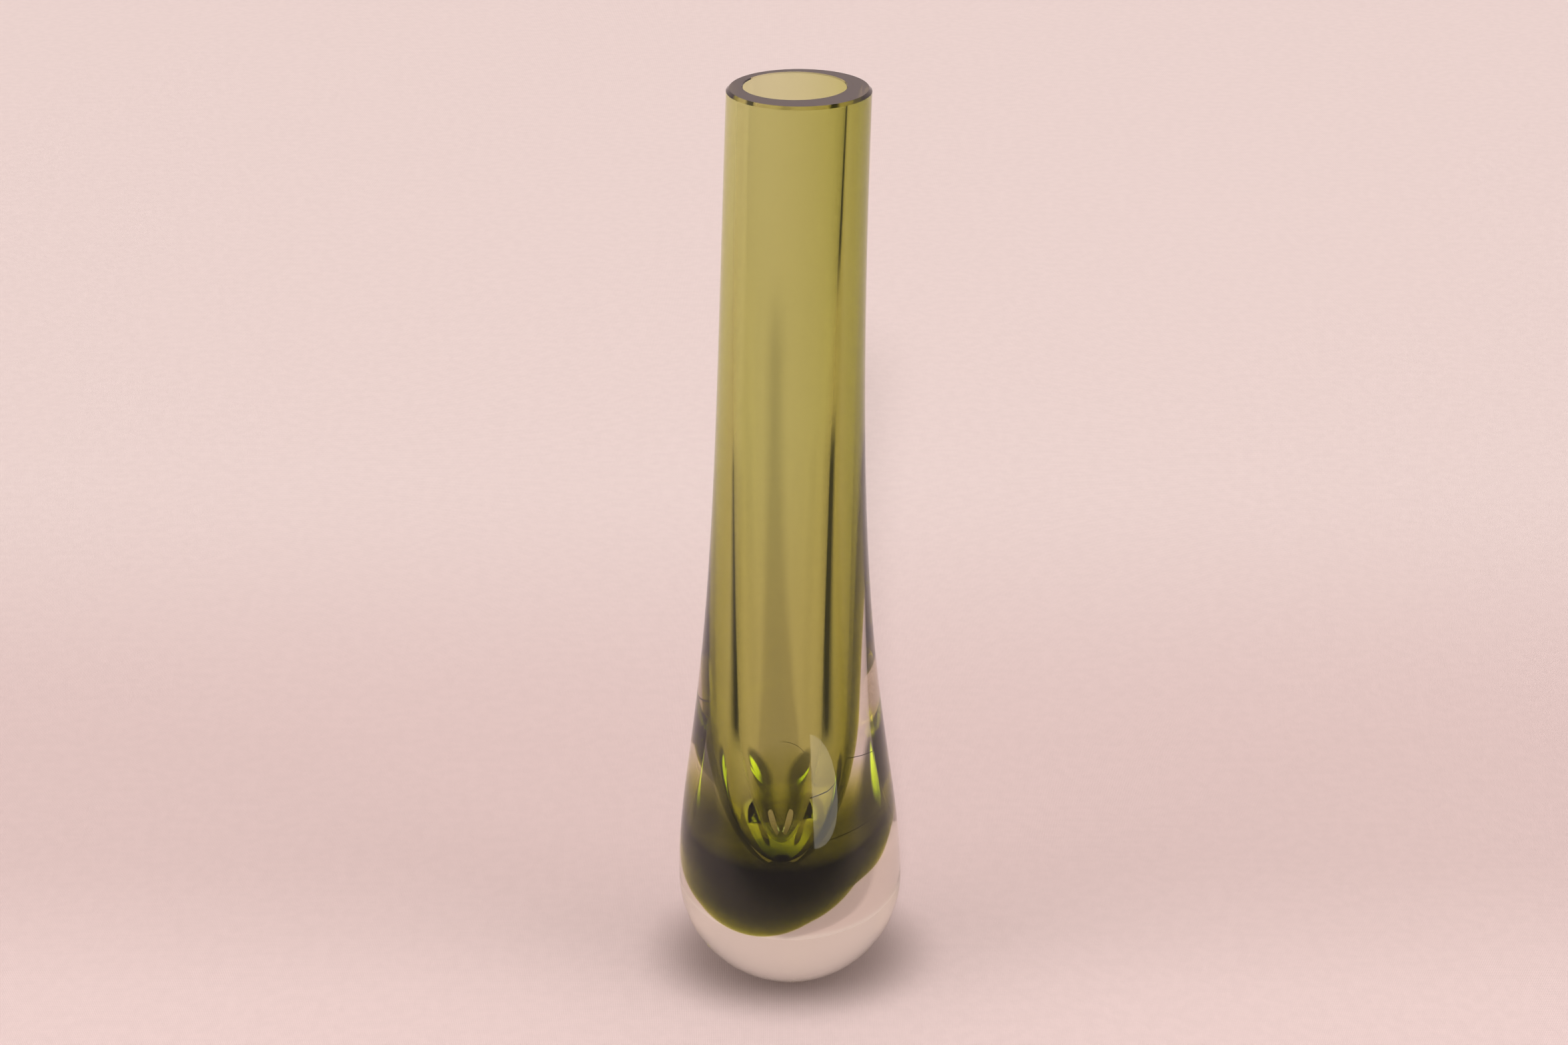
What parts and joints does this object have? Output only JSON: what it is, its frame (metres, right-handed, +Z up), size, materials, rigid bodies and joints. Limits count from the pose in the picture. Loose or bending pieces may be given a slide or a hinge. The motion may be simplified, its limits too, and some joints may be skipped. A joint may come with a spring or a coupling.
{
  "type": "bud vase",
  "caption": "Tall cased-glass bud vase: a green core with a long round bore and a heavy drop under it, inside a clear casing, near-cylindrical neck, cut rim and heavy ball-shaped base.",
  "frame": {"origin": "centre of the widest ring, dropped onto the surface that the flat foot rests on", "axes": "+Z up along the vase, -Y towards the picture's camera, +X to its right, the way the neck leans"},
  "size_m": [0.061, 0.061, 0.25],
  "materials": {
    "green_glass": "polished",
    "clear_glass": "polished"
  },
  "bodies": {
    "root": {"green_core": "green_glass", "clear_casing": "clear_glass"}
  },
  "joints": []
}
